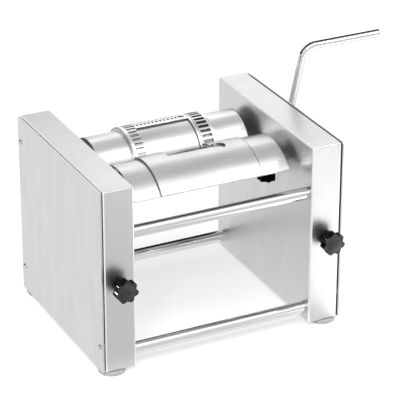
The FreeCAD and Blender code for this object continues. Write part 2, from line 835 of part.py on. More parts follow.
def crank_bush():
    """Flanged bush in the right cover, round the shaft."""
    bore = shaft_radius + journal_clearance
    barrel = tube_x(shaft_radius + crank_bush_wall, bore, outer_x - crank_bush_length, outer_x,
                    drum_y, drum_z)
    flange = tube_x(crank_bush_flange_radius, bore, outer_x, outer_x + crank_bush_flange,
                    drum_y, drum_z)
    return join([barrel, flange])


def arm_pivot(side):
    """Shoulder pin welded inside the inner wall, with a retaining ring."""
    end = arm_x1 + 2 * running_gap + ring_width
    profile = [
        (0, inside_x), (pivot_flange_radius, inside_x),
        (pivot_flange_radius, inside_x + pivot_flange),
        (pivot_radius, inside_x + pivot_flange), (pivot_radius, end), (0, end),
    ]
    pin = turned(profile, V(0, pivot_y, pivot_z), V(1, 0, 0))
    ring_x = arm_x1 + running_gap
    ring = tube_x(pivot_radius + ring_wall, pivot_radius, ring_x, ring_x + ring_width,
                  pivot_y, pivot_z)
    return on_side(group([pin, ring]), side)


# --------------------------------------------------------------------------------------
# Pressure roller and its arms
# --------------------------------------------------------------------------------------

def roller_tube():
    """The pressure roller's tube."""
    return tube_x(roller_radius, roller_radius - roller_wall, roller_left, roller_right,
                  roller_y, roller_z)


def roller_end_caps():
    """Discs in the roller's ends, bored for its shaft."""
    caps = []
    for x0 in (roller_left, roller_right - roller_cap_thickness):
        caps.append(tube_x(roller_radius - roller_wall, roller_shaft_radius, x0,
                           x0 + roller_cap_thickness, roller_y, roller_z))
    return group(caps)


def roller_shaft():
    """Shaft through the roller, from arm to arm."""
    end = arm_x1 + 2 * running_gap + ring_width
    return rod_x(roller_shaft_radius, -end, end, roller_y, roller_z)


def roller_gear():
    """Gear on the roller's shaft, in mesh with the drum's gear."""
    half_pitch = 360.0 / roller_gear_teeth / 2
    blank = gear_blank(roller_gear_teeth, gear_x, roller_y, roller_z, half_pitch)
    return blank.cut(rod_x(roller_shaft_radius, gear_x - 1, gear_x + gear_width + 1,
                           roller_y, roller_z))


def roller_rings():
    """Retaining rings outside the arms."""
    x0 = arm_x1 + running_gap
    ring = tube_x(roller_shaft_radius + ring_wall, roller_shaft_radius, x0, x0 + ring_width,
                  roller_y, roller_z)
    return group([ring, on_side(ring, -1)])


def arm_outline(x0, x1):
    """The lever's plate: two round ends joined by straight tangent sides."""
    length = roller_z - pivot_z
    lean = math.degrees(math.asin((arm_top_radius - arm_foot_radius) / length))
    top = (arm_top_radius, roller_y, roller_z, x0)
    foot = (arm_foot_radius, pivot_y, pivot_z, x0)
    edges = [
        arc_edge(top[0], -lean, 180 + lean, *top[1:]),
        Part.makeLine(polar(top[0], 180 + lean, *top[1:]), polar(foot[0], 180 + lean, *foot[1:])),
        arc_edge(foot[0], 180 + lean, 360 - lean, *foot[1:]),
        Part.makeLine(polar(foot[0], -lean, *foot[1:]), polar(top[0], -lean, *top[1:])),
    ]
    return Part.Face(Part.Wire(edges)).extrude(V(x1 - x0, 0, 0))


def pressure_arm(side):
    """Lever that carries the roller, pivots low in the housing and is pulled by the clevis."""
    plate = arm_outline(arm_x0, arm_x1)
    hub = rod_x(pivot_hub_radius, inside_x + pivot_flange + running_gap, arm_x1, pivot_y, pivot_z)
    cuts = [
        rod_x(pivot_radius + journal_clearance, wall_x, arm_x1 + 1, pivot_y, pivot_z),
        rod_x(bush_radius, arm_x0 - 1, arm_x1 + 1, roller_y, roller_z),
        rod_x(clevis_pin_radius + pin_clearance, arm_x0 - 1, arm_x1 + 1, roller_y, knob_z),
    ]
    return on_side(join([plate, hub]).cut(cuts), side)


def roller_bush(side):
    """Flanged bush in the arm's top eye."""
    bore = roller_shaft_radius + journal_clearance
    barrel = tube_x(bush_radius, bore, arm_x0, arm_x1, roller_y, roller_z)
    flange = tube_x(bush_flange_radius, bore, arm_x0 - bush_flange, arm_x0, roller_y, roller_z)
    return on_side(join([barrel, flange]), side)


# --------------------------------------------------------------------------------------
# Gap spindles
# --------------------------------------------------------------------------------------

def arm_front(z):
    """The y of the arm plate's front edge at a height."""
    share = (z - pivot_z) / (roller_z - pivot_z)
    return roller_y - arm_foot_radius - share * (arm_top_radius - arm_foot_radius)


clevis_y1 = arm_front(knob_z) - clevis_room      # inner face of the clevis base
clevis_y0 = clevis_y1 - clevis_base


def clevis(side):
    """Fork on the spindle's end that straddles the arm."""
    half = clevis_height / 2
    ear_in, ear_out = arm_x0 - running_gap, arm_x1 + running_gap
    ear_end = roller_y + 2 * clevis_pin_radius
    base = box(ear_in - clevis_ear, ear_out + clevis_ear, clevis_y0, clevis_y1,
               knob_z - half, knob_z + half)
    ears = []
    for x0 in (ear_in - clevis_ear, ear_out):
        ears.append(box(x0, x0 + clevis_ear, clevis_y1, ear_end, knob_z - half, knob_z + half))
    cuts = [
        rod_y(spindle_journal_radius + journal_clearance, clevis_y0 - 1, clevis_y1 + 1,
              arm_mid_x, knob_z),
        rod_x(clevis_pin_radius, ear_in - 2 * clevis_ear, ear_out + 2 * clevis_ear,
              roller_y, knob_z),
    ]
    return on_side(join([base] + ears).cut(cuts), side)


def clevis_pin(side):
    """Pin through the fork and the arm."""
    x0, x1 = arm_x0 - running_gap - clevis_ear, arm_x1 + running_gap + clevis_ear
    return on_side(rod_x(clevis_pin_radius, x0, x1, roller_y, knob_z), side)


def knob_base_y():
    """Where the knob's neck starts, outside the housing's front."""
    return front_y - knob_wall_gap


def spindle(side):
    """Threaded spindle from the knob to the fork, with a collar inside the fork."""
    inner = clevis_y1 + running_gap / 2
    shoulder = clevis_y0 - running_gap / 2
    tip = knob_base_y() - knob_neck - knob_head / 2
    profile = [
        (0, -(inner + spindle_collar)), (spindle_collar_radius, -(inner + spindle_collar)),
        (spindle_collar_radius, -inner), (spindle_journal_radius, -inner),
        (spindle_journal_radius, -shoulder), (spindle_radius, -shoulder),
        (spindle_radius, -tip), (0, -tip),
    ]
    return on_side(turned(profile, V(arm_mid_x, 0, knob_z), V(0, -1, 0)), side)


def spindle_nut(side):
    """Nut welded inside the tray's front, which the spindle turns in."""
    back = front_y + sheet
    nut = hex_prism(nut_width, nut_height, V(arm_mid_x, back, knob_z), V(0, 1, 0))
    bore = rod_y(spindle_radius + journal_clearance, back - 1, back + nut_height + 1,
                 arm_mid_x, knob_z)
    return on_side(nut.cut(bore), side)


def star_knob(radius, head, neck, neck_radius, crown, bore_radius, bore_depth, base, axis):
    """A lobed plastic grip: conical neck, lobed head and a round crown, with a blind bore."""
    middle, top = neck + head / 2, neck + head
    body = turned([(0, 0), (neck_radius, 0), (neck_radius * neck_flare, middle), (0, middle)],
                  base, axis)
    grip = star(radius, knob_lobes, head, base + axis * neck, axis)
    rim = radius * crown_share
    dome = [(0, middle), (rim, middle), (rim, top), (rim * 0.8, top + crown * 0.7),
            (rim * 0.45, top + crown), (0, top + crown)]
    bore = turned([(0, -1), (bore_radius, -1), (bore_radius, bore_depth), (0, bore_depth)],
                  base, axis)
    return join([body, grip, turned(dome, base, axis)]).cut(bore)


def gap_knob(side):
    """Star grip on a spindle, in front of a housing."""
    base = V(arm_mid_x, knob_base_y(), knob_z)
    knob = star_knob(knob_radius, knob_head, knob_neck, knob_neck_radius, knob_crown,
                     spindle_radius, knob_neck + knob_head / 2, base, V(0, -1, 0))
    return on_side(knob, side)


# --------------------------------------------------------------------------------------
# Guard over the pressure roller
# --------------------------------------------------------------------------------------

def feed_notch():
    """What the feed notch takes out of the apron and the feed plate."""
    low, high = apron_radius - apron_sheet - 2, apron_radius + feed_plate_sheet + 2
    notch = arc_band(low, high, apron_rear_angle - 5, notch_angle, apron_y, apron_z,
                     -notch_left, notch_right)
    bottom = polar((low + high) / 2, notch_angle, apron_y, apron_z)
    corners = [e for e in notch.Edges if len(e.Vertexes) == 2
               and (e.CenterOfMass - V(e.CenterOfMass.x, bottom.y, bottom.z)).Length < 0.1
               and abs(e.Vertexes[0].X - e.Vertexes[1].X) < 0.01]
    return notch.makeFillet(notch_corner, corners)


def finger_bite():
    """Round bite through the feed plate alone; the apron shows in it."""
    low, high = apron_radius - feed_plate_sheet / 2, apron_radius + feed_plate_sheet * 2
    bite = rod_y(bite_radius, apron_y + low, apron_y + high, bite_x, apron_z)
    bite.rotate(V(0, apron_y, apron_z), V(1, 0, 0), bite_angle)
    return bite


def front_apron():
    """Curved sheet over the roller, with a flat lip turned in at its front edge."""
    shell = arc_band(apron_radius - apron_sheet, apron_radius, apron_rear_angle,
                     apron_front_angle, apron_y, apron_z, apron_left, apron_right)
    lip = box(apron_left, apron_right, lip_y, lip_y + lip_depth, lip_bottom, lip_top)
    return join([shell, lip]).cut(feed_notch())


def apron_cheeks():
    """Moulded end plates inside the apron, above its lip."""
    inner = apron_radius - apron_sheet
    start = 180 - math.degrees(math.asin((lip_top - apron_z) / inner))
    back = lip_y + lip_depth - cheek_setback
    end = math.degrees(math.acos((back - apron_y) / inner))
    cheeks = []
    for x0 in (apron_left, apron_right - cheek_thickness):
        heel = V(x0, back, lip_top)
        edges = [
            arc_edge(inner, start, end, apron_y, apron_z, x0),
            Part.makeLine(polar(inner, end, apron_y, apron_z, x0), heel),
            Part.makeLine(heel, polar(inner, start, apron_y, apron_z, x0)),
        ]
        cheeks.append(Part.Face(Part.Wire(edges)).extrude(V(cheek_thickness, 0, 0)))
    return group(cheeks)


def feed_plate():
    """Thicker curved plate laid over the middle of the apron, with the feed notch."""
    plate = arc_band(apron_radius, apron_radius + feed_plate_sheet, apron_rear_angle,
                     apron_front_angle, apron_y, apron_z, -feed_plate_left, feed_plate_right)
    return plate.cut([feed_notch(), finger_bite()])


def guard_studs():
    """Studs welded under the lip: one for the clamp knob, one for the guide nut."""
    studs = [rod_z(stud_radius, lip_bottom - stud_length, lip_bottom, x, y)
             for x, y in ((stud_x, stud_y), (-stud_x, guide_y))]
    return group(studs)


def guide_nut():
    """Lock nut that keeps the guard's left end on its support."""
    top = support_bottom - slide_gap
    nut = hex_prism(guide_nut_width, guide_nut_height,
                    V(-stud_x, guide_y, top - guide_nut_height), V(0, 0, 1))
    return nut.cut(rod_z(stud_radius, top - guide_nut_height - 1, top + 1, -stud_x, guide_y))


def apron_support(side):
    """Angle bracket on the inner wall that the guard's lip rests on."""
    x0, neck_x = wall_x - support_reach, wall_x - support_neck_reach
    plan = [
        V(x0, support_y0, 0), V(neck_x, support_y0, 0), V(neck_x, support_neck_y, 0),
        V(wall_x, support_neck_y, 0), V(wall_x, support_y1, 0), V(x0, support_y1, 0),
    ]
    outline = Part.makePolygon([p + V(0, 0, support_bottom) for p in plan + plan[:1]])
    shelf = Part.Face(outline).extrude(V(0, 0, support_sheet))
    tab = box(wall_x - support_sheet, wall_x, support_neck_y, support_y1,
              support_bottom - support_tab, support_bottom)
    half = stud_radius + stud_slot_clearance
    slot_y = stud_y if side > 0 else guide_y
    slot = [box(stud_x - guard_shift, stud_x + guard_shift, slot_y - half, slot_y + half,
                support_bottom - 1, support_top + 1)]
    for x in (stud_x - guard_shift, stud_x + guard_shift):
        slot.append(rod_z(half, support_bottom - 1, support_top + 1, x, slot_y))
    holes = [rod_x(screw_radius, wall_x - support_sheet - 1, wall_x + 1, y, z)
             for y, z in support_screw_places()]
    return on_side(join([shelf, tab]).cut(slot + holes), side)


def wall_screws():
    """Machine screws in the inner walls: round each bearing, and through each support's tab."""
    face = inside_x + bearing_flange
    screws = [wall_screw(y, z, wall_x, face - screw_head_height)
              for y, z in bearing_screw_places()]
    for y, z in support_screw_places():
        head_x = wall_x - support_sheet
        shank = rod_x(screw_radius, head_x, inside_x + nut_thickness, y, z)
        head = rod_x(screw_head_radius, head_x - screw_head_height, head_x, y, z)
        nut = hex_prism(2 * screw_head_radius, nut_thickness, V(inside_x, y, z), V(1, 0, 0))
        screws.append(join([shank, head, nut]))
    return group(screws + [on_side(screw, -1) for screw in screws])


def clamp_washer():
    """Washer between the support and the clamp knob."""
    top = support_bottom - slide_gap
    disc = rod_z(washer_radius, top - washer_thickness, top, stud_x, stud_y)
    return disc.cut(rod_z(stud_radius + journal_clearance, top - 2 * washer_thickness, top + 1,
                          stud_x, stud_y))


def clamp_knob():
    """Small star grip under the guard's right end."""
    top = support_bottom - 2 * slide_gap - washer_thickness
    depth = clamp_knob_neck + clamp_knob_head - clamp_knob_end_wall
    return star_knob(clamp_knob_radius, clamp_knob_head, clamp_knob_neck, clamp_knob_neck_radius,
                     clamp_knob_crown, stud_radius + journal_clearance, depth,
                     V(stud_x, stud_y, top), V(0, 0, -1))


# --------------------------------------------------------------------------------------
# All nodes
# --------------------------------------------------------------------------------------

def build_nodes():
    """Every node's name and shape."""
    nodes = {
        "cover_screws": cover_screws(),
        "tie_rod_bolts": tie_rod_bolts(),
        "feet": feet(),
        "foot_screws": foot_screws(),
        "wall_screws": wall_screws(),
        "crank_bush": crank_bush(),
        "drum_tube": drum_tube(),
        "drum_end_caps": drum_end_caps(),
        "drum_shaft": drum_shaft(),
        "drum_gear": drum_gear(),
        "drum_key": drum_key(),
        "drum_collar": drum_collar(),
        "cutter_sleeve": cutter_sleeve(),
        "left_cutter_ring": left_cutter_ring(),
        "right_cutter_ring": right_cutter_ring(),
        "cutter_bars": cutter_bars(),
        "cutter_screws": cutter_screws(),
        "crank_hub": crank_hub(),
        "crank_rod": crank_rod(),
        "crank_screw": crank_screw(),
        "roller_tube": roller_tube(),
        "roller_end_caps": roller_end_caps(),
        "roller_shaft": roller_shaft(),
        "roller_gear": roller_gear(),
        "roller_rings": roller_rings(),
        "front_apron": front_apron(),
        "apron_cheeks": apron_cheeks(),
        "feed_plate": feed_plate(),
        "guard_studs": guard_studs(),
        "guide_nut": guide_nut(),
        "clamp_washer": clamp_washer(),
        "clamp_knob": clamp_knob(),
    }
    for name, (y, z) in rod_places().items():
        nodes[name + "_tie_rod"] = tie_rod(y, z)
    for name, side in (("left", -1), ("right", 1)):
        nodes[name + "_housing"] = housing(side)
        nodes[name + "_cover"] = cover(side)
        nodes[name + "_drum_bearing"] = drum_bearing(side)
        nodes[name + "_arm_pivot"] = arm_pivot(side)
        nodes[name + "_pressure_arm"] = pressure_arm(side)
        nodes[name + "_roller_bush"] = roller_bush(side)
        nodes[name + "_clevis"] = clevis(side)
        nodes[name + "_clevis_pin"] = clevis_pin(side)
        nodes[name + "_spindle"] = spindle(side)
        nodes[name + "_spindle_nut"] = spindle_nut(side)
        nodes[name + "_knob"] = gap_knob(side)
        nodes[name + "_apron_support"] = apron_support(side)
    return nodes


def main():
    """Write one STEP file per node."""
    os.makedirs("parts", exist_ok=True)
    for name, shape in build_nodes().items():
        shape.exportStep("parts/" + name + ".step")


main()
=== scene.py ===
import math

import bpy
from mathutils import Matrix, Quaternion, Vector


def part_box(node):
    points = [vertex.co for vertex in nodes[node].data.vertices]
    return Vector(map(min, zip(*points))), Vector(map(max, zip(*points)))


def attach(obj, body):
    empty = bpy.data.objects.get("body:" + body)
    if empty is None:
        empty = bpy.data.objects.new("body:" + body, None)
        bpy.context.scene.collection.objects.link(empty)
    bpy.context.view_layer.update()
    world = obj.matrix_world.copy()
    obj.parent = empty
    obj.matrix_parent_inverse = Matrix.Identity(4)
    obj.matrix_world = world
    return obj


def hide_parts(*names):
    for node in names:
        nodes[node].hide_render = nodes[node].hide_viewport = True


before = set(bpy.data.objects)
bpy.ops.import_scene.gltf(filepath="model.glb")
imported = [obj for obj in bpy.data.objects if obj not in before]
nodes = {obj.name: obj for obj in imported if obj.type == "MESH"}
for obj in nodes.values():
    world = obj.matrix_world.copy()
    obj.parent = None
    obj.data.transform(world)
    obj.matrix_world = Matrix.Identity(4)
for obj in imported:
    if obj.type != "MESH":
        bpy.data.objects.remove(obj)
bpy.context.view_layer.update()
bpy.ops.object.select_all(action="DESELECT")


# ---- Camera ----
# Seen from the front left and a little above, from three metres away with a long lens, so
# that the press keeps nearly parallel edges.
VIEW_AZIMUTH = math.radians(-26.646)
VIEW_ELEVATION = math.radians(25.810)
VIEW_ROLL = math.radians(0.113)
VIEW_DISTANCE = 2.9255
VIEW_TARGET = Vector((0.0320, 0.0, 0.1538))
SENSOR_WIDTH = 36.0          # mm
FOCAL_LENGTH = 194.04        # mm
NEAREST_SEEN, FURTHEST_SEEN = 0.05, 60.0

bpy.ops.object.camera_add()
camera = bpy.context.object
camera.name = "camera"
camera.data.sensor_width = SENSOR_WIDTH
camera.data.lens = FOCAL_LENGTH
towards_camera = Vector((
    math.sin(VIEW_AZIMUTH) * math.cos(VIEW_ELEVATION),
    -math.cos(VIEW_AZIMUTH) * math.cos(VIEW_ELEVATION),
    math.sin(VIEW_ELEVATION),
))
camera.location = VIEW_TARGET + towards_camera * VIEW_DISTANCE
camera.rotation_mode = "QUATERNION"
camera.rotation_quaternion = (-towards_camera).to_track_quat("-Z", "Y")
camera.rotation_quaternion @= Quaternion((0, 0, 1), VIEW_ROLL)
camera.data.clip_start = NEAREST_SEEN
camera.data.clip_end = FURTHEST_SEEN
bpy.context.scene.camera = camera
bpy.context.scene.view_settings.view_transform = "Standard"


# ---- Studio ----
# A white floor that runs out of sight and soft light from all round. Metal mirrors an arch
# of light over the press, panels behind it and grey cards. Some lamps are linked to a few
# pieces, in which they draw crisp lines and sparks.
def linear(code):
    """An sRGB hex colour as linear RGBA."""
    shares = [int(code[i:i + 2], 16) / 255 for i in (1, 3, 5)]
    curve = [s / 12.92 if s <= 0.04045 else ((s + 0.055) / 1.055) ** 2.4 for s in shares]
    return (*curve, 1.0)


def add(tree, kind, links=(), values=(), **settings):
    """Adds a node with its settings, its fixed inputs and its links from other sockets."""
    node = tree.nodes.new(kind)
    for name, value in settings.items():
        setattr(node, name, value)
    for key, value in dict(values).items():
        node.inputs[key].default_value = value
    for key, socket in dict(links).items():
        tree.links.new(socket, node.inputs[key])
    return node


FLOOR_SIZE = 12.0
FLOOR_WHITE = "#F6F6F6"
GLOW_SEEN = 0.62             # share of the floor's white that no shadow reaches
GLOW_MIRRORED = 0.85         # the same share, as metal mirrors the floor

bpy.ops.mesh.primitive_plane_add(size=FLOOR_SIZE)
floor = bpy.context.object
floor.name = "studio_floor"
floor_paint = bpy.data.materials.new("matt_white_floor")
floor_paint.use_nodes = True
tree = floor_paint.node_tree
tree.nodes.clear()
matt = add(tree, "ShaderNodeBsdfDiffuse", values={"Color": linear(FLOOR_WHITE)})
glow = add(tree, "ShaderNodeEmission", values={"Strength": 1.0})
path = add(tree, "ShaderNodeLightPath")
seen = add(tree, "ShaderNodeMath", {0: path.outputs["Is Camera Ray"]}, {1: GLOW_SEEN},
           operation="MULTIPLY")
share = add(tree, "ShaderNodeMath", {0: path.outputs["Is Glossy Ray"], 2: seen.outputs[0]},
            {1: GLOW_MIRRORED}, operation="MULTIPLY_ADD")
mixed = add(tree, "ShaderNodeMixShader", {0: share.outputs[0], 1: matt.outputs[0],
                                          2: glow.outputs[0]})
add(tree, "ShaderNodeOutputMaterial", {"Surface": mixed.outputs[0]})
floor.data.materials.append(floor_paint)

WHITE = (1.0, 1.0, 1.0, 1.0)
FILL = 0.80                  # light from the surround on everything matt
ARCH_FULL = 2.0              # what 1 stands for in the arch and the panels
ARCH = (                     # (degrees over the press from the back horizon, brightness)
    (0, 0.0), (69.9, 0.0), (70, 0.19), (96, 0.19), (100, 0.72), (108, 0.80), (128, 0.80),
    (140, 0.66), (152, 0.46), (180, 0.40),
)

world = bpy.data.worlds.new("studio")
bpy.context.scene.world = world
world.use_nodes = True
tree = world.node_tree
tree.nodes.clear()
coords = add(tree, "ShaderNodeTexCoord")
axes = add(tree, "ShaderNodeSeparateXYZ", {0: coords.outputs["Generated"]})
turn = add(tree, "ShaderNodeMath", {0: axes.outputs["Z"], 1: axes.outputs["Y"]},
           operation="ARCTAN2")
around_press = add(tree, "ShaderNodeMapRange", {0: turn.outputs[0]}, {1: 0.0, 2: math.pi})
arch = add(tree, "ShaderNodeValToRGB", {0: around_press.outputs[0]})
stops = arch.color_ramp.elements
stops[0].position, stops[1].position = 0.0, 1.0
for angle, value in ARCH[1:-1]:
    stops.new(angle / 180)
for stop, (angle, value) in zip(stops, ARCH):
    stop.color = (value, value, value, 1.0)
brightness = add(tree, "ShaderNodeMath", {0: arch.outputs[0]}, {1: ARCH_FULL},
                 operation="MULTIPLY")
path = add(tree, "ShaderNodeLightPath")
white = add(tree, "ShaderNodeBackground", values={"Color": WHITE, "Strength": 1.0})
surround = add(tree, "ShaderNodeBackground", {"Strength": brightness.outputs[0]},
               {"Color": WHITE})
fill = add(tree, "ShaderNodeBackground", values={"Color": WHITE, "Strength": FILL})
mirrored = add(tree, "ShaderNodeMixShader", {0: path.outputs["Is Glossy Ray"],
                                             1: fill.outputs[0], 2: surround.outputs[0]})
seen = add(tree, "ShaderNodeMixShader", {0: path.outputs["Is Camera Ray"],
                                         1: mirrored.outputs[0], 2: white.outputs[0]})
add(tree, "ShaderNodeOutputWorld", {"Surface": seen.outputs[0]})

KEY_FROM = (-0.6, -0.9, 2.0)
KEY_STRENGTH = 2.6
KEY_SPREAD = math.radians(40)

bpy.ops.object.light_add(type="SUN", location=KEY_FROM)
key = bpy.context.object
key.name = "key_over_left_front"
key.data.energy = KEY_STRENGTH
key.data.angle = KEY_SPREAD
key.rotation_mode = "QUATERNION"
key.rotation_quaternion = (-key.location).to_track_quat("-Z", "Y")
key.visible_glossy = False


def soft_lamp(name, place, aim, size, radiance, lights_matt=True):
    """An area lamp that the camera doesn't see; size is its width and height."""
    bpy.ops.object.light_add(type="AREA", location=place)
    lamp = bpy.context.object
    lamp.name = name
    lamp.data.shape = "RECTANGLE"
    lamp.data.size, lamp.data.size_y = size
    lamp.data.energy = radiance * math.pi * size[0] * size[1]
    lamp.rotation_mode = "QUATERNION"
    lamp.rotation_quaternion = (Vector(aim) - Vector(place)).to_track_quat("-Z", "Y")
    lamp.visible_camera = False
    lamp.visible_diffuse = lights_matt
    return lamp


PRESS_MIDDLE = (0, 0, 0.15)
REFLECTOR_PLACE = (0.42, -0.42, 0.003)       # it lies on the floor and shines up
REFLECTOR_AIM = (0.42, -0.42, 1.0)
REFLECTOR_SIZE = (0.50, 0.56)
REFLECTOR_RADIANCE = 0.70
SPARK_SIZE = (0.30, 0.30)
SPARK_RADIANCE = 60.0

reflector = soft_lamp("reflector_right_front", REFLECTOR_PLACE, REFLECTOR_AIM,
                      REFLECTOR_SIZE, REFLECTOR_RADIANCE)
soft_lamp("spark_left", (-1.5, -1.9, 1.9), PRESS_MIDDLE, SPARK_SIZE, SPARK_RADIANCE)
soft_lamp("spark_right", (1.6, -1.4, 2.2), PRESS_MIDDLE, SPARK_SIZE, SPARK_RADIANCE)


def card(name, place, turn, size, grey):
    """A plain card that only mirrors see."""
    bpy.ops.mesh.primitive_plane_add(location=place, rotation=turn)
    panel = bpy.context.object
    panel.name = name
    panel.scale = (size[0] / 2, size[1] / 2, 1)
    bpy.ops.object.transform_apply(location=True, rotation=True, scale=True)
    paint = bpy.data.materials.new(name)
    paint.use_nodes = True
    tree = paint.node_tree
    tree.nodes.clear()
    light = add(tree, "ShaderNodeEmission", values={"Strength": grey})
    add(tree, "ShaderNodeOutputMaterial", {"Surface": light.outputs[0]})
    panel.data.materials.append(paint)
    panel.visible_camera = panel.visible_diffuse = panel.visible_shadow = False
    panel.visible_transmission = False


LYING, UPRIGHT = (0, 0, 0), (math.pi / 2, 0, 0)

card("grey_card_left_front", (-0.12, -0.46, 0.002), LYING, (0.52, 0.60), 0.85)
card("grey_card_behind", (0.02, 0.80, 0.50), UPRIGHT, (0.40, 0.44), 0.80)


def lighting_group(name, lamps):
    """A group of pieces that some lamps treat differently from the rest."""
    group = bpy.data.collections.new(name)
    for lamp in lamps:
        lamp.light_linking.receiver_collection = group
    return group


def join_group(group, piece, state):
    """Puts a piece in a group: EXCLUDE keeps its lamps off it, INCLUDE keeps them to it."""
    group.objects.link(piece)
    for member in group.collection_objects:
        member.light_linking.link_state = state


# Panels stand behind the press and close the arch. Pieces in the flagged group don't see
# them, and mirror a crisp black band there.
PANELS = (                   # (from, to, brightness), in the arch's terms
    (0, 18, 0.60), (18, 32, 0.66), (32, 52, 0.80), (52, 70, 0.42), (70, 97, 0.18),
)
PANEL_DISTANCE = 40.0
PANEL_LENGTH = 120.0

panels = []
for low, high, value in PANELS:
    angle = math.radians((low + high) / 2)
    half = math.radians((high - low) / 2)
    place = (0, PANEL_DISTANCE * math.cos(angle), PANEL_DISTANCE * math.sin(angle))
    size = (PANEL_LENGTH, 2 * PANEL_DISTANCE * math.tan(half))
    panels.append(soft_lamp(f"panel_behind_{low}", place, (0, 0, 0), size,
                            value * ARCH_FULL, lights_matt=False))
flagged = lighting_group("flagged_from_panels", panels)

# Small windows that only the black grips mirror.
WINDOWS = (                  # (name, place, width and height)
    ("window_back_left", (-1.26, 2.40, 1.17), 1.0),
    ("window_back_right", (2.40, 1.70, 0.75), 0.8),
    ("window_right_front", (1.21, -1.30, 2.42), 0.6),
)
WINDOW_RADIANCE = 250.0

windows = [soft_lamp(name, place, PRESS_MIDDLE, (side, side), WINDOW_RADIANCE,
                     lights_matt=False) for name, place, side in WINDOWS]
windowed = lighting_group("lit_by_windows", windows)


# ---- Side housings ----
# Two folded trays of 1.5 mm austenitic stainless sheet with a turned-in edge all round.
# Their corners are welded and dressed flush, and the sheet is ground satin, upwards.
SHARP_EDGE = math.radians(32)     # faces that meet at a larger angle keep an edge
SAME_POINT = 2e-6                 # corners of loose triangles this close are one


def smooth_copy(node, bevel=0.0, segments=2, reshape=None):
    """A shaded copy of a CAD node: merged, with smooth curves and crisp or rounded edges."""
    piece = nodes[node].copy()
    piece.data = nodes[node].data.copy()
    for key in list(piece.keys()):
        del piece[key]
    piece.parent = None
    piece.name = node + "_piece"
    bpy.context.scene.collection.objects.link(piece)
    piece.data.materials.clear()
    bpy.ops.object.select_all(action="DESELECT")
    bpy.context.view_layer.objects.active = piece
    piece.select_set(True)
    bpy.ops.object.mode_set(mode="EDIT")
    bpy.ops.mesh.select_all(action="SELECT")
    bpy.ops.mesh.customdata_custom_splitnormals_clear()
    bpy.ops.mesh.remove_doubles(threshold=SAME_POINT)
    bpy.ops.object.mode_set(mode="OBJECT")
    if reshape:
        reshape(piece)
    if bevel:
        edge = piece.modifiers.new("edge", "BEVEL")
        edge.width = bevel
        edge.segments = segments
        edge.limit_method = "ANGLE"
        edge.angle_limit = SHARP_EDGE
        bpy.ops.object.modifier_apply(modifier="edge")
    bpy.ops.object.shade_smooth_by_angle(angle=SHARP_EDGE)
    flat = piece.modifiers.new("flat", "WEIGHTED_NORMAL")
    flat.keep_sharp = True
    flat.weight = 100
    bpy.ops.object.modifier_apply(modifier="flat")
    return piece


def dress(node, body, slot, material, **shape):
    """Lets a smooth copy stand for its CAD node, on its body, with its finish."""
    piece = smooth_copy(node, **shape)
    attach(piece, body)
    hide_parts(node)
    piece.data.materials.append(material)
    return piece


def repaint(piece, material, belongs):
    """Gives a second finish to the faces for which belongs(centre, normal) holds."""
    piece.data.materials.append(material)
    for face in piece.data.polygons:
        if belongs(face.center, face.normal):
            face.material_index = 1


MARK_LENGTH = 60             # tool marks are this many times longer than wide
MARK_STRENGTH = 0.25
CLOUDS_ALONG = 14.0          # soft patches per metre, so they are 71 mm long
CLOUDS_ACROSS = 50.0         # and 20 mm wide
NOISE_LOW, NOISE_HIGH = 0.3, 0.7     # what noise mostly lies between
PATCH_LOW, PATCH_HIGH = 0.35, 0.65   # noise from here to there turns dull


def worked_metal(name, colour, roughness, along, grain_mm=0.35, depth=0.00001, spread=0.05,
                 cloud=0.03, cloud_tint=0.95):
    """Metal with fine tool marks along some axes, which vary its gloss and its height.

    Spread and cloud are how much the marks and the soft patches change its roughness, depth
    is the marks' height in metres, and cloud_tint is the share of its colour that the
    patches keep.
    """
    material = bpy.data.materials.new(name)
    material.use_nodes = True
    tree = material.node_tree
    tree.nodes.clear()
    across = 1000.0 / grain_mm
    marks = [across / MARK_LENGTH if axis in along else across for axis in "XYZ"]
    patch = [CLOUDS_ALONG if axis in along else CLOUDS_ACROSS for axis in "XYZ"]
    coords = add(tree, "ShaderNodeTexCoord")
    stretch = add(tree, "ShaderNodeMapping", {"Vector": coords.outputs["Object"]},
                  {"Scale": marks})
    streaks = add(tree, "ShaderNodeTexNoise", {"Vector": stretch.outputs[0]},
                  {"Scale": 1.0, "Detail": 3.0, "Roughness": 0.6})
    drawn_out = add(tree, "ShaderNodeMapping", {"Vector": coords.outputs["Object"]},
                    {"Scale": patch})
    clouds = add(tree, "ShaderNodeTexNoise", {"Vector": drawn_out.outputs[0]},
                 {"Scale": 1.0, "Detail": 2.0})
    gloss = add(tree, "ShaderNodeMapRange", {0: streaks.outputs[0]},
                {1: NOISE_LOW, 2: NOISE_HIGH, 3: roughness - spread, 4: roughness + spread})
    uneven = add(tree, "ShaderNodeMapRange", {0: clouds.outputs[0]},
                 {1: NOISE_LOW, 2: NOISE_HIGH, 3: -cloud, 4: cloud})
    rough = add(tree, "ShaderNodeMath", {0: gloss.outputs[0], 1: uneven.outputs[0]},
                operation="ADD")
    patches = add(tree, "ShaderNodeMapRange", {0: clouds.outputs[0]},
                  {1: PATCH_LOW, 2: PATCH_HIGH})
    dull = [c * cloud_tint for c in linear(colour)[:3]] + [1.0]
    tint = add(tree, "ShaderNodeMixRGB", {0: patches.outputs[0]},
               {1: linear(colour), 2: dull})
    bump = add(tree, "ShaderNodeBump", {"Height": streaks.outputs[0]},
               {"Strength": MARK_STRENGTH, "Distance": depth})
    metal = add(tree, "ShaderNodeBsdfPrincipled",
                {"Base Color": tint.outputs[0], "Roughness": rough.outputs[0],
                 "Normal": bump.outputs[0]}, {"Metallic": 1.0})
    add(tree, "ShaderNodeOutputMaterial", {"Surface": metal.outputs[0]})
    return material


SATIN_STEEL = "#CFCFCE"
SATIN_ROUGHNESS = 0.35
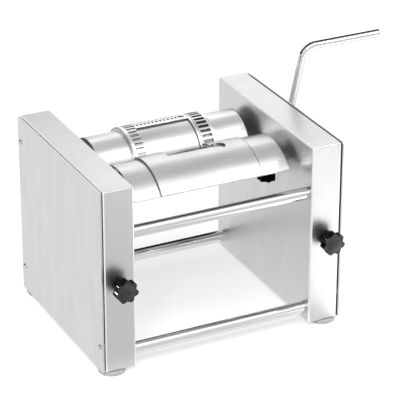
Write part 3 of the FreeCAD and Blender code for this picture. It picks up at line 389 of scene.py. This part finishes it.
# Satin stainless: a fine upright grain from the grinding belt blurs what it mirrors.
satin_upright = worked_metal("satin_stainless_upright", SATIN_STEEL, SATIN_ROUGHNESS,
                             along="Z", cloud_tint=0.97)
# Painted highlight: the upright folds are painted near white and made glossier than the
# sheet.
painted_highlight_fold = worked_metal("painted_highlight_on_folds", "#FAFAFA", 0.22, along="Z")
FOLD_TURN = 0.2              # a fold's faces look at least this much along x and along y


def is_upright_fold(centre, normal):
    """Whether a face lies between the tray's wall and its front or back."""
    return min(abs(normal.x), abs(normal.y)) > FOLD_TURN


for side in ("left", "right"):
    tray = dress(side + "_housing", "frame", "sheet_steel", satin_upright)
    repaint(tray, painted_highlight_fold, is_upright_fold)


# ---- Feet ----
# Four round feet of grey rubber under the trays' corners, each held by a sunk zinc plated
# screw with a nut inside the tray.
GRAIN_STRENGTH = 0.2
GRAIN_SPREAD = 0.2           # share by which the grain varies the roughness
WORN_LIGHTER = 1.25          # the grain's tops are this many times lighter


def moulded(name, colour, roughness, grain_mm, depth, sheen=0.5):
    """Moulded plastic or rubber with a faint grain from its mould."""
    material = bpy.data.materials.new(name)
    material.use_nodes = True
    tree = material.node_tree
    tree.nodes.clear()
    coords = add(tree, "ShaderNodeTexCoord")
    grain = add(tree, "ShaderNodeTexNoise", {"Vector": coords.outputs["Object"]},
                {"Scale": 1000.0 / grain_mm, "Detail": 2.0})
    rough = add(tree, "ShaderNodeMapRange", {0: grain.outputs[0]},
                {1: NOISE_LOW, 2: NOISE_HIGH, 3: roughness * (1 - GRAIN_SPREAD),
                 4: roughness * (1 + GRAIN_SPREAD)})
    worn = [min(1.0, c * WORN_LIGHTER) for c in linear(colour)[:3]] + [1.0]
    tint = add(tree, "ShaderNodeMixRGB", {0: grain.outputs[0]}, {1: linear(colour), 2: worn})
    bump = add(tree, "ShaderNodeBump", {"Height": grain.outputs[0]},
               {"Strength": GRAIN_STRENGTH, "Distance": depth})
    body = add(tree, "ShaderNodeBsdfPrincipled",
               {"Base Color": tint.outputs[0], "Roughness": rough.outputs[0],
                "Normal": bump.outputs[0]}, {"Specular IOR Level": sheen})
    add(tree, "ShaderNodeOutputMaterial", {"Surface": body.outputs[0]})
    return material


# Grey rubber: moulded, matt, with a fine orange peel.
grey_rubber = moulded("moulded_grey_rubber", "#8C8C8C", roughness=0.62, grain_mm=0.9,
                      depth=0.00005)
# Zinc plate: bright and slightly blue, over a machined surface.
ZINC = "#B9BBBE"
zinc_plate = worked_metal("zinc_plated_steel", ZINC, 0.28, along="X", grain_mm=0.6)
dress("feet", "frame", "grey_rubber", grey_rubber, bevel=0.0006)
dress("foot_screws", "frame", "plated_steel", zinc_plate, bevel=0.0003)


# ---- Tie rods ----
# Four round bars of bright drawn stainless between the trays, polished like mirrors, each
# tapped at both ends and held by a hexagon head bolt from inside the tray.

# Polished bar: a clear mirror with hair-fine lines along it.
bright_bar = worked_metal("polished_stainless_bar", "#DCDCDC", 0.045, along="X", grain_mm=0.5,
                          depth=0.000002, spread=0.015, cloud=0.01)
for place in ("front_upper", "front_lower", "back_upper", "back_lower"):
    bar = dress(place + "_tie_rod", "frame", "polished_steel", bright_bar)
    join_group(flagged, bar, "EXCLUDE")
dress("tie_rod_bolts", "frame", "plated_steel", zinc_plate, bevel=0.0004)


# ---- Bearings, bushes and pivots in the walls ----
# Flanged bearings turned from bronze, screwed to the inner walls, and shoulder pins welded
# low in the trays. A bronze bush in the right cover steadies the shaft.

# Bearing bronze: turned, with fine rings round the bore, a little browned.
turned_bronze = worked_metal("turned_bearing_bronze", "#B98F55", 0.26, along="YZ",
                             grain_mm=0.5)
for side in ("left", "right"):
    dress(side + "_drum_bearing", "frame", "bronze", turned_bronze, bevel=0.0003)
    dress(side + "_arm_pivot", "frame", "plated_steel", zinc_plate, bevel=0.0002)
dress("crank_bush", "frame", "bronze", turned_bronze, bevel=0.0004)
dress("wall_screws", "frame", "plated_steel", zinc_plate, bevel=0.0003)


# ---- Drum ----
# A stainless tube of 90 mm, turned and polished fine, with flanged end discs of black
# nylon, whose black also stands in for the shade at the drum's ends, on a ground shaft that
# carries the collar on the left and the gear on the right.

# Ground stainless: fine lines along the tube and soft patches from the polishing wheel.
turned_steel = worked_metal("ground_stainless_tube", "#D8D8D7", 0.27, along="X",
                            grain_mm=0.30, spread=0.05, cloud_tint=0.84)
# Ground shaft: nearly a mirror, with hair-fine rings round it.
ground_shaft = worked_metal("ground_shaft_steel", "#D6D6D6", 0.12, along="YZ", grain_mm=0.4,
                            spread=0.02, cloud=0.01)
# Gear steel: milled teeth, grey, with a film of oil that makes its gloss uneven.
oiled_steel = worked_metal("oiled_gear_steel", "#8E8F92", 0.32, along="X", grain_mm=0.5,
                           spread=0.10)
# Nylon: turned from black rod, half gloss; its black is also painted shade at the ends
# of the drum, the roller and the apron.
black_nylon_and_shade = moulded("black_nylon_painted_shade", "#0C0C0C", roughness=0.38, grain_mm=0.8,
                      depth=0.00002)
dress("drum_tube", "drum", "drum_metal", turned_steel)
dress("drum_end_caps", "drum", "black_plastic", black_nylon_and_shade, bevel=0.0003)
dress("drum_shaft", "drum", "polished_steel", ground_shaft, bevel=0.0004)
dress("drum_key", "drum", "gear_steel", oiled_steel, bevel=0.0002)
dress("drum_gear", "drum", "gear_steel", oiled_steel, bevel=0.0002)
dress("drum_collar", "drum", "plated_steel", zinc_plate, bevel=0.0005)


# ---- Cutter ----
# A thin sleeve on the drum with a ring of teeth at each end and two windowed bars between
# them, milled from aluminium alloy and tumbled bright. A sunk screw holds each bar.

# Milled alloy: pale and half bright, with the cutter's fine marks round the rings.
milled_alloy = worked_metal("milled_aluminium_alloy", "#E2E2E1", 0.22, along="YZ",
                            grain_mm=0.4, spread=0.06)
# Ground alloy: fine lines along the sleeve, in soft patches.
sleeve_alloy = worked_metal("ground_aluminium_sleeve", "#DCDCDB", 0.27, along="X",
                            grain_mm=0.3, spread=0.05, cloud_tint=0.80)
# Painted shade: the walls of the gaps and the sleeve at their bottom are painted dark grey
# and made rougher, and on the left ring this painted shade is lighter.
LIGHT_GAP_SHADE_COLOUR, GAP_SHADE_COLOUR = "#B4B4B4", "#707070"
light_gap_shade = worked_metal("light_painted_shade_in_gaps", LIGHT_GAP_SHADE_COLOUR, 0.50, along="YZ",
                           grain_mm=0.4)
gap_shade = worked_metal("painted_shade_in_gaps", GAP_SHADE_COLOUR, 0.50, along="YZ", grain_mm=0.4)

SIDE_WALL_TURN = 0.4         # share of a normal that points away from the axis
drum_low, drum_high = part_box("drum_tube")
drum_axis = (drum_low + drum_high) / 2


def is_side_wall(centre, normal):
    """Whether a face doesn't look straight out from the drum's axis."""
    out = Vector((0, centre.y - drum_axis.y, centre.z - drum_axis.z)).normalized()
    return normal.dot(out) < SIDE_WALL_TURN


def paint_shade_at_ends(material, low, low_colour, high, high_colour):
    """Gives a metal other colours, as painted shade, where x is below low and where it is
    above high.
    """
    tree = material.node_tree
    metal = next(n for n in tree.nodes if n.type == "BSDF_PRINCIPLED")
    colour = metal.inputs["Base Color"].links[0].from_socket
    coords = add(tree, "ShaderNodeTexCoord")
    axes = add(tree, "ShaderNodeSeparateXYZ", {0: coords.outputs["Object"]})
    for operation, edge, code in (("LESS_THAN", low, low_colour),
                                  ("GREATER_THAN", high, high_colour)):
        beyond = add(tree, "ShaderNodeMath", {0: axes.outputs["X"]}, {1: edge},
                     operation=operation)
        colour = add(tree, "ShaderNodeMixRGB", {0: beyond.outputs[0], 1: colour},
                     {2: linear(code)}).outputs[0]
    tree.links.new(colour, metal.inputs["Base Color"])


left_ring_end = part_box("left_cutter_ring")[1].x
right_ring_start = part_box("right_cutter_ring")[0].x
# The sleeve shows only through the rings' gaps there, so its ends carry the painted shade.
paint_shade_at_ends(sleeve_alloy, left_ring_end, LIGHT_GAP_SHADE_COLOUR, right_ring_start, GAP_SHADE_COLOUR)
dress("cutter_sleeve", "drum", "cutter_metal", sleeve_alloy)
for node, gap in (("left_cutter_ring", light_gap_shade), ("right_cutter_ring", gap_shade),
                  ("cutter_bars", gap_shade)):
    toothed = dress(node, "drum", "cutter_metal", milled_alloy, bevel=0.00015, segments=1)
    repaint(toothed, gap, is_side_wall)
dress("cutter_screws", "drum", "plated_steel", zinc_plate, bevel=0.0003)


# ---- Pressure arms and roller ----
# Two plated steel levers inside the housings carry the roller's shaft in bronze bushes. The
# roller is a ground stainless tube with nylon end discs; its gear meets the drum's.
for side in ("left", "right"):
    dress(side + "_pressure_arm", "carriage", "plated_steel", zinc_plate, bevel=0.0004)
    dress(side + "_roller_bush", "carriage", "bronze", turned_bronze, bevel=0.0003)
dress("roller_tube", "roller", "drum_metal", turned_steel, bevel=0.0004)
dress("roller_end_caps", "roller", "black_plastic", black_nylon_and_shade, bevel=0.0003)
dress("roller_shaft", "roller", "polished_steel", ground_shaft, bevel=0.0004)
dress("roller_gear", "roller", "gear_steel", oiled_steel, bevel=0.0002)
dress("roller_rings", "roller", "plated_steel", zinc_plate, bevel=0.0002)


# ---- Gap spindles ----
# M8 spindles of plated steel run in nuts welded behind the housings' fronts. They end in
# forks that pull the arms by a pin.
RIDGE_STRENGTH = 0.8
RIDGE_DEPTH = 0.5            # share of the pitch
ROOT_SHADE_SHARE = 0.55


def rolled_thread(name, colour, along, pitch_mm):
    """Plated steel with a thread's ridges across its axis, at the thread's own pitch, and
    painted shade in its roots.
    """
    material = bpy.data.materials.new(name)
    material.use_nodes = True
    tree = material.node_tree
    tree.nodes.clear()
    coords = add(tree, "ShaderNodeTexCoord")
    # A band of the wave texture is pi / (10 * scale) metres wide.
    ridges = add(tree, "ShaderNodeTexWave", {"Vector": coords.outputs["Object"]},
                 {"Scale": 100.0 * math.pi / pitch_mm}, wave_type="BANDS",
                 bands_direction=along, wave_profile="TRI")
    bump = add(tree, "ShaderNodeBump", {"Height": ridges.outputs["Fac"]},
               {"Strength": RIDGE_STRENGTH, "Distance": RIDGE_DEPTH * pitch_mm * 0.001})
    # Painted shade: the thread's roots are darker than its crests.
    painted_root_shade = [c * ROOT_SHADE_SHARE for c in linear(colour)[:3]] + [1.0]
    tint = add(tree, "ShaderNodeMixRGB", {0: ridges.outputs["Fac"]},
               {1: painted_root_shade, 2: linear(colour)})
    steel = add(tree, "ShaderNodeBsdfPrincipled",
                {"Base Color": tint.outputs[0], "Normal": bump.outputs[0]},
                {"Metallic": 1.0, "Roughness": 0.30})
    add(tree, "ShaderNodeOutputMaterial", {"Surface": steel.outputs[0]})
    return material


# A thread rolled into zinc plated steel every 1.25 mm: bright crests, and roots painted dark
# as painted shade.
spindle_thread = rolled_thread("rolled_m8_thread", ZINC, "Y", pitch_mm=1.25)
for side in ("left", "right"):
    dress(side + "_spindle_nut", "frame", "plated_steel", zinc_plate, bevel=0.0004)
    dress(side + "_clevis", side + "_fork", "plated_steel", zinc_plate, bevel=0.0004)
    dress(side + "_clevis_pin", side + "_fork", "plated_steel", zinc_plate, bevel=0.0004)
    dress(side + "_spindle", side + "_screw", "plated_steel", spindle_thread)


# ---- Star grips ----
# Seven-lobed grips moulded in black phenolic on the spindles' ends, polished in the mould
# so that they mirror the lamps, with every edge rounded for the hand.
SAME_PLANE = 0.0001          # points this close to a plane lie in it
CROWN_DEPTH, CROWN_RADIUS = 0.0030, 0.0096
CROWN_ROOM = 1.02            # the crown's own points lie within this much of its radius
DOME_RADIUS = 0.0114
DOME_FLAT = 0.0040


def clear_selection(mode="VERT"):
    """Leaves nothing of the mesh selected, ready to select vertices or edges."""
    bpy.ops.object.mode_set(mode="EDIT")
    bpy.ops.mesh.select_mode(type=mode)
    bpy.ops.mesh.select_all(action="DESELECT")
    bpy.ops.object.mode_set(mode="OBJECT")


def dome_crown(piece):
    """Draws the crown's front in and its foot out, so that it runs into the lobes."""
    points = piece.data.vertices
    front = min(point.co.y for point in points)
    rim = [point.co for point in points if point.co.y < front + SAME_PLANE]
    hub = sum(rim, Vector()) / len(rim)
    rings = {}
    for point in points:
        off_axis = math.hypot(point.co.x - hub.x, point.co.z - hub.z)
        in_crown = point.co.y < front + CROWN_DEPTH + SAME_PLANE
        if in_crown and off_axis < CROWN_RADIUS * CROWN_ROOM:
            rings.setdefault(round(point.co.y, 5), []).append((off_axis, point.index))
    for level, ring in sorted(rings.items()):
        share = min(1.0, max(0.0, (level - front) / CROWN_DEPTH))
        radius = max(DOME_FLAT, DOME_RADIUS * math.sqrt(share))
        growth = radius / max(off_axis for off_axis, _ in ring)
        clear_selection()
        for _, index in ring:
            points[index].select = True
        bpy.ops.object.mode_set(mode="EDIT")
        bpy.ops.transform.resize(value=(growth, 1, growth), center_override=(hub.x, 0, hub.z))
        bpy.ops.object.mode_set(mode="OBJECT")


# Phenolic: black and glossy where the mould was polished.
black_phenolic = moulded("moulded_black_phenolic", "#030303", roughness=0.10, grain_mm=1.2,
                         depth=0.00001, sheen=0.03)
# The crown keeps the finer grain of its spark-eroded mould, and looks greyer.
grained_phenolic = moulded("grained_black_phenolic", "#101010", roughness=0.42, grain_mm=1.0,
                           depth=0.00004)
FACING_FRONT = -0.75         # the crown's faces look at least this much towards the front
for side in ("left", "right"):
    grip = dress(side + "_knob", side + "_screw", "black_plastic", black_phenolic,
                 bevel=0.0011, segments=3, reshape=dome_crown)
    repaint(grip, grained_phenolic, lambda centre, normal: normal.y < FACING_FRONT)
    join_group(windowed, grip, "INCLUDE")
    join_group(flagged, grip, "EXCLUDE")


# ---- Apron supports ----
# Angle brackets of 3 mm satin sheet, screwed to the inner walls. The guard's lip rests on
# them, and its studs pass through their slots.

# Satin stainless, ground along the press and glossier than the trays, in soft patches.
GLOSSIER = 0.08
satin_along = worked_metal("satin_stainless_along", SATIN_STEEL, SATIN_ROUGHNESS - GLOSSIER,
                           along="X", cloud_tint=0.86)
for side in ("left", "right"):
    dress(side + "_apron_support", "frame", "sheet_steel", satin_along, bevel=0.0002)


# ---- Guard ----
# The apron is rolled from 1.2 mm stainless with its lip folded in, and closed at its ends by
# moulded black cheeks, whose black also stands in for the shade under its ends. The feed
# plate is a thicker rolled plate over its middle. A stud with a star grip clamps the lip to
# its support, and a stud with a nut guides it.
dress("front_apron", "guard", "sheet_steel", satin_along)
dress("apron_cheeks", "guard", "black_plastic", black_nylon_and_shade, bevel=0.0003)

END_ROUNDING = 0.0018
LOOKS_UP = 0.3               # least share of a normal that points up, on the plate's top
LOOKS_ALONG = 0.1            # most share that points along the press there


def round_right_end(piece):
    """Rounds the upper edge of the plate's right end, which the hand meets."""
    points = piece.data.vertices
    far = max(point.co.x for point in points)
    beside = {}
    for face in piece.data.polygons:
        for key in face.edge_keys:
            beside.setdefault(key, []).append(face.normal.copy())
    clear_selection("EDGE")
    for edge in piece.data.edges:
        at_end = all(points[i].co.x > far - SAME_PLANE for i in edge.vertices)
        on_top = any(n.z > LOOKS_UP and abs(n.x) < LOOKS_ALONG for n in beside[edge.key])
        edge.select = at_end and on_top
    bpy.ops.object.mode_set(mode="EDIT")
    bpy.ops.mesh.bevel(offset=END_ROUNDING, segments=2, clamp_overlap=False)
    bpy.ops.mesh.select_mode(type="VERT")
    bpy.ops.object.mode_set(mode="OBJECT")


plate = dress("feed_plate", "guard", "sheet_steel", satin_along, bevel=0.0007,
              reshape=round_right_end)
# Painted shade: the plate's ends are painted dark grey, as a line of shade along them, and
# rough.
painted_shade_end = worked_metal("painted_shade_on_plate_ends", "#6E6E6E", 0.50, along="YZ", grain_mm=0.6)
END_TURN = 0.3               # an end's faces look at least this much along the press
repaint(plate, painted_shade_end, lambda centre, normal: abs(normal.x) > END_TURN)
# The studs' thread is the spindles', at 1 mm.
stud_thread = rolled_thread("rolled_m6_thread", ZINC, "Z", pitch_mm=1.0)
dress("guard_studs", "guard", "plated_steel", stud_thread)
dress("guide_nut", "guard", "plated_steel", zinc_plate, bevel=0.0004)
dress("clamp_washer", "clamp_plate", "plated_steel", zinc_plate, bevel=0.0002)
grip = dress("clamp_knob", "clamp_grip", "black_plastic", black_phenolic, bevel=0.0009,
             segments=3)
join_group(windowed, grip, "INCLUDE")
join_group(flagged, grip, "EXCLUDE")


# ---- Covers ----
# Flat plates of 2 mm stainless that close the trays. Pressed bosses hold them a little off
# the turned-in edge, and three slotted screws fix each.
shaded = lighting_group("kept_from_reflector", [reflector])
for side in ("left", "right"):
    cover = dress(side + "_cover", "frame", "sheet_steel", satin_upright)
    join_group(shaded, cover, "EXCLUDE")
# Screw heads: cut from bright stainless, domed and polished.
polished_head = worked_metal("polished_stainless_head", "#C8C8C8", 0.10, along="YZ",
                             grain_mm=0.5, spread=0.02, cloud=0.01)
screws = dress("cover_screws", "frame", "polished_steel", polished_head, bevel=0.0004,
               segments=3)
join_group(flagged, screws, "EXCLUDE")


# ---- Crank ----
# One 11 mm stainless rod, bent cold into arm and handle and polished. It passes through a
# turned hub on the shaft's end and is locked there by a set screw.

# Polished rod: a soft mirror, with marks in no one direction.
polished_rod = worked_metal("polished_stainless_rod", "#DADADA", 0.09, along="XYZ",
                            grain_mm=0.5, depth=0.000002, spread=0.015, cloud=0.01)
rod = dress("crank_rod", "drum", "polished_steel", polished_rod)
join_group(flagged, rod, "EXCLUDE")
dress("crank_hub", "drum", "polished_steel", ground_shaft, bevel=0.0003)
dress("crank_screw", "drum", "plated_steel", zinc_plate, bevel=0.0003)
